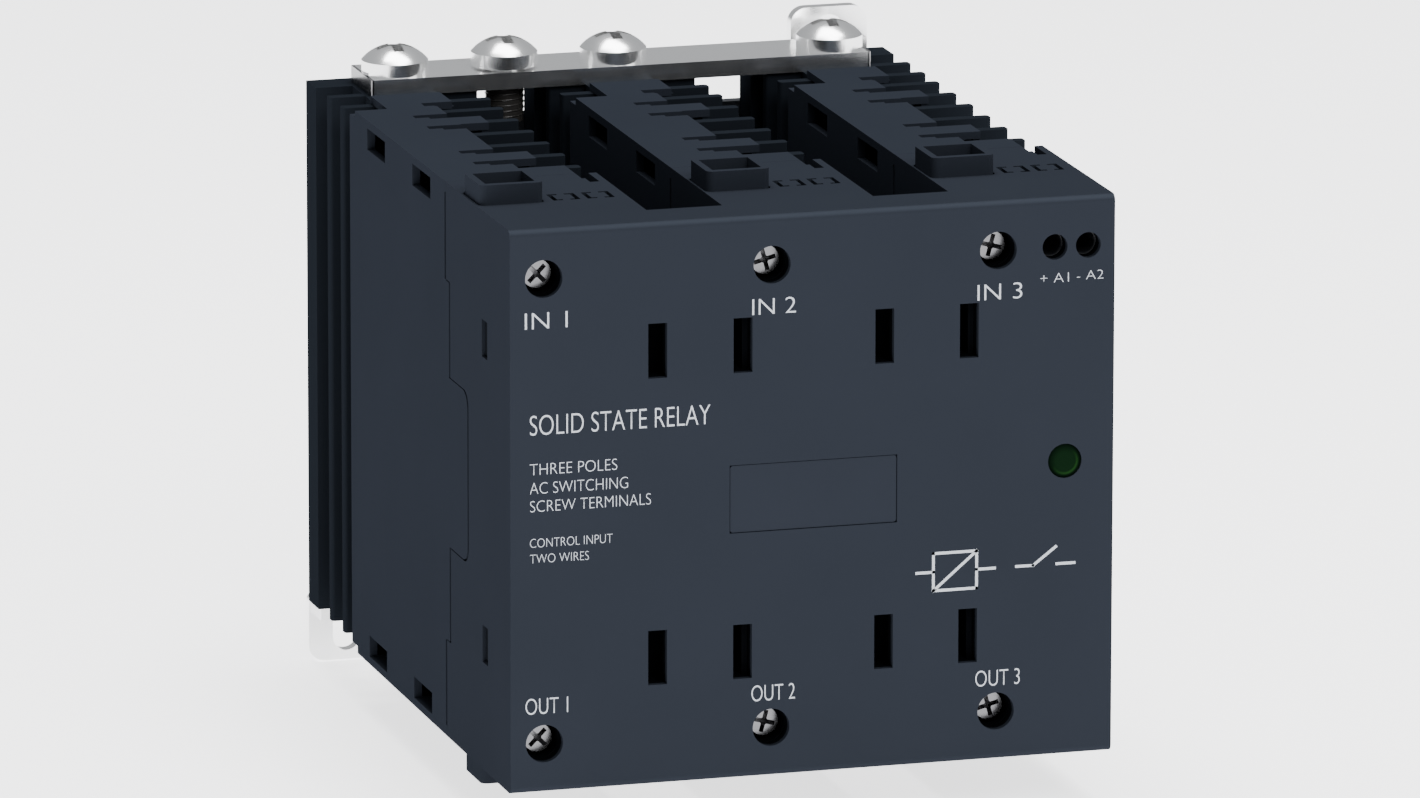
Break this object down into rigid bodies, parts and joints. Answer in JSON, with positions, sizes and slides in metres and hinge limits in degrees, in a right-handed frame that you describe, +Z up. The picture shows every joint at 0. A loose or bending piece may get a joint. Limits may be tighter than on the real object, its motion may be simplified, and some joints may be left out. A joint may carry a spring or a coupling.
{
  "type": "three-pole solid state relay",
  "caption": "Solid state relay: slim finned pole modules joined by one front cover, with screw terminals, steel bars, wall ears and a sprung rail latch.",
  "frame": {"origin": "middle of the heat sinks' rear face, the face that rests on the rail or panel", "axes": "+X to the right seen from the front, +Y to the rear (towards the panel), +Z up"},
  "size_m": [0.0904, 0.116, 0.0965],
  "materials": {
    "cover_plastic": "fine moulded texture",
    "housing_plastic": "fine moulded texture",
    "marking_plastic": "smooth",
    "lens": "polished",
    "led_body": "polished",
    "anodised_aluminium": "dark anodised",
    "module_plastic": "moulded",
    "circuit_board": "solder mask",
    "plated_steel": "bright plated",
    "thermal_pad": "soft",
    "black_plastic": "moulded",
    "varistor_coating": "dipped",
    "capacitor_case": "moulded",
    "resistor_coating": "lacquered",
    "lead_insulation": "smooth",
    "copper": "tinned copper",
    "black_steel": "black finish",
    "latch_steel": "brushed",
    "spring_steel": "drawn wire"
  },
  "bodies": {
    "base": {"front_cover": "cover_plastic", "wire_collars": "cover_plastic", "marking_plate": "marking_plastic", "status_lens": "lens", "status_led": "led_body", "module_housing_1": "housing_plastic", "heat_sink_1": "anodised_aluminium", "power_module_1": "module_plastic", "driver_board_1": "circuit_board", "module_housing_2": "housing_plastic", "heat_sink_2": "anodised_aluminium", "power_module_2": "module_plastic", "driver_board_2": "circuit_board", "module_housing_3": "housing_plastic", "heat_sink_3": "anodised_aluminium", "power_module_3": "module_plastic", "driver_board_3": "circuit_board", "thermal_pads": "thermal_pad", "power_module_screws": "plated_steel", "control_board": "circuit_board", "board_connectors": "black_plastic", "optocouplers": "black_plastic", "varistors": "varistor_coating", "snubber_capacitors": "capacitor_case", "gate_resistors": "resistor_coating", "gate_leads": "lead_insulation", "line_busbars": "copper", "load_busbars": "copper", "control_terminal_block": "black_plastic", "control_contacts": "copper", "top_bracket": "plated_steel", "bottom_bracket": "plated_steel", "top_bracket_screws": "plated_steel", "bottom_bracket_screws": "plated_steel", "upper_rail_plate": "black_steel", "lower_rail_plates": "black_steel", "rail_plate_screws": "plated_steel", "latch_spring": "spring_steel", "latch_guide_screws": "plated_steel"},
    "line_screw_1": {"line_screw_1": "plated_steel"},
    "line_cage_1": {"line_cage_1": "plated_steel"},
    "line_screw_2": {"line_screw_2": "plated_steel"},
    "line_cage_2": {"line_cage_2": "plated_steel"},
    "line_screw_3": {"line_screw_3": "plated_steel"},
    "line_cage_3": {"line_cage_3": "plated_steel"},
    "load_screw_1": {"load_screw_1": "plated_steel"},
    "load_cage_1": {"load_cage_1": "plated_steel"},
    "load_screw_2": {"load_screw_2": "plated_steel"},
    "load_cage_2": {"load_cage_2": "plated_steel"},
    "load_screw_3": {"load_screw_3": "plated_steel"},
    "load_cage_3": {"load_cage_3": "plated_steel"},
    "control_screw_1": {"control_screw_1": "plated_steel"},
    "control_cage_1": {"control_cage_1": "plated_steel"},
    "control_screw_2": {"control_screw_2": "plated_steel"},
    "control_cage_2": {"control_cage_2": "plated_steel"},
    "earth_screw": {"earth_screw": "plated_steel"},
    "rail_latch": {"rail_latch": "latch_steel"}
  },
  "joints": [
    {"name": "line_screw_1_turn", "type": "hinge", "parent": "base", "child": "line_screw_1", "pos_m": [-0.04, -0.1072, 0.034], "axis": [0, 1, 0], "range_deg": [0, 2160]},
    {"name": "line_cage_1_slide", "type": "slide", "parent": "base", "child": "line_cage_1", "axis": [0, -1, 0], "range_m": [0, 0.0042]},
    {"name": "line_screw_2_turn", "type": "hinge", "parent": "base", "child": "line_screw_2", "pos_m": [-0.00625, -0.1072, 0.034], "axis": [0, 1, 0], "range_deg": [0, 2160]},
    {"name": "line_cage_2_slide", "type": "slide", "parent": "base", "child": "line_cage_2", "axis": [0, -1, 0], "range_m": [0, 0.0042]},
    {"name": "line_screw_3_turn", "type": "hinge", "parent": "base", "child": "line_screw_3", "pos_m": [0.0275, -0.1072, 0.034], "axis": [0, 1, 0], "range_deg": [0, 2160]},
    {"name": "line_cage_3_slide", "type": "slide", "parent": "base", "child": "line_cage_3", "axis": [0, -1, 0], "range_m": [0, 0.0042]},
    {"name": "load_screw_1_turn", "type": "hinge", "parent": "base", "child": "load_screw_1", "pos_m": [-0.04, -0.1072, -0.034], "axis": [0, 1, 0], "range_deg": [0, 2160]},
    {"name": "load_cage_1_slide", "type": "slide", "parent": "base", "child": "load_cage_1", "axis": [0, -1, 0], "range_m": [0, 0.0042]},
    {"name": "load_screw_2_turn", "type": "hinge", "parent": "base", "child": "load_screw_2", "pos_m": [-0.00625, -0.1072, -0.034], "axis": [0, 1, 0], "range_deg": [0, 2160]},
    {"name": "load_cage_2_slide", "type": "slide", "parent": "base", "child": "load_cage_2", "axis": [0, -1, 0], "range_m": [0, 0.0042]},
    {"name": "load_screw_3_turn", "type": "hinge", "parent": "base", "child": "load_screw_3", "pos_m": [0.0275, -0.1072, -0.034], "axis": [0, 1, 0], "range_deg": [0, 2160]},
    {"name": "load_cage_3_slide", "type": "slide", "parent": "base", "child": "load_cage_3", "axis": [0, -1, 0], "range_m": [0, 0.0042]},
    {"name": "control_screw_1_turn", "type": "hinge", "parent": "base", "child": "control_screw_1", "pos_m": [0.036, -0.103, 0.034], "axis": [0, 1, 0], "range_deg": [0, 1800]},
    {"name": "control_cage_1_slide", "type": "slide", "parent": "base", "child": "control_cage_1", "axis": [0, -1, 0], "range_m": [0, 0.00225]},
    {"name": "control_screw_2_turn", "type": "hinge", "parent": "base", "child": "control_screw_2", "pos_m": [0.041, -0.103, 0.034], "axis": [0, 1, 0], "range_deg": [0, 1800]},
    {"name": "control_cage_2_slide", "type": "slide", "parent": "base", "child": "control_cage_2", "axis": [0, -1, 0], "range_m": [0, 0.00225]},
    {"name": "earth_screw_turn", "type": "hinge", "parent": "base", "child": "earth_screw", "pos_m": [-0.01688, -0.00925, 0.0425], "axis": [0, 0, 1], "range_deg": [0, 720]},
    {"name": "rail_latch_slide", "type": "slide", "parent": "base", "child": "rail_latch", "axis": [0, 0, -1], "range_m": [0, 0.003], "stiffness_N_per_m": 1000, "springref_m": -0.002, "deforming": ["latch_spring"]}
  ],
  "couplings": [
    {"joint": "line_screw_1_turn", "follows": "line_cage_1_slide", "rad_per_m": 8976},
    {"joint": "line_screw_2_turn", "follows": "line_cage_2_slide", "rad_per_m": 8976},
    {"joint": "line_screw_3_turn", "follows": "line_cage_3_slide", "rad_per_m": 8976},
    {"joint": "load_screw_1_turn", "follows": "load_cage_1_slide", "rad_per_m": 8976},
    {"joint": "load_screw_2_turn", "follows": "load_cage_2_slide", "rad_per_m": 8976},
    {"joint": "load_screw_3_turn", "follows": "load_cage_3_slide", "rad_per_m": 8976},
    {"joint": "control_screw_1_turn", "follows": "control_cage_1_slide", "rad_per_m": 13963},
    {"joint": "control_screw_2_turn", "follows": "control_cage_2_slide", "rad_per_m": 13963}
  ]
}
